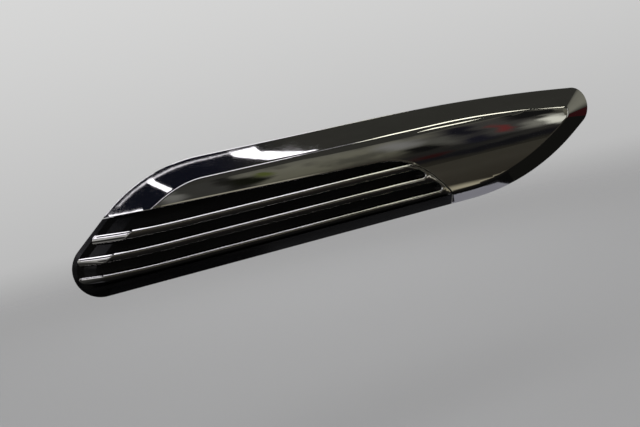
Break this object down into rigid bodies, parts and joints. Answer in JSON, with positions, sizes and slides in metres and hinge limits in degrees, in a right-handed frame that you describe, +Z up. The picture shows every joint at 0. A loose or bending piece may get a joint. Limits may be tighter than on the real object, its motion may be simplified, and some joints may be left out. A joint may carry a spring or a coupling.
{
  "type": "fender side vent trim",
  "caption": "Leaf-shaped plated side vent trim for a car's front wing: bevelled blade over black louvre channels with plated fins, on a black clip-on carrier.",
  "frame": {"origin": "centre of the middle seat pad, on the wing's outer skin, midway between the studs", "axes": "+X along the louvres towards the front of the car, +Y into the wing, +Z up across the trim; the face looks along -Y"},
  "size_m": [0.4177, 0.0296, 0.0734],
  "materials": {
    "chrome": "dark bright plating",
    "black_plastic": "gloss black moulding",
    "seal_rubber": "foamed rubber",
    "zinc_steel": "bright zinc",
    "screw_steel": "black zinc",
    "spring_steel": "blued spring strip"
  },
  "bodies": {
    "root": {"blade": "chrome", "fin_upper": "chrome", "fin_middle": "chrome", "fin_lower": "chrome", "end_strip": "chrome", "carrier": "black_plastic", "seal": "seal_rubber", "stud_rear": "zinc_steel", "stud_front": "zinc_steel", "screw_1": "screw_steel", "screw_2": "screw_steel", "screw_3": "screw_steel", "screw_4": "screw_steel", "screw_5": "screw_steel", "clip_top_rear": "spring_steel", "clip_top_middle": "spring_steel", "clip_top_front": "spring_steel", "clip_low_rear": "spring_steel", "clip_low_middle": "spring_steel", "clip_low_front": "spring_steel"}
  },
  "joints": []
}
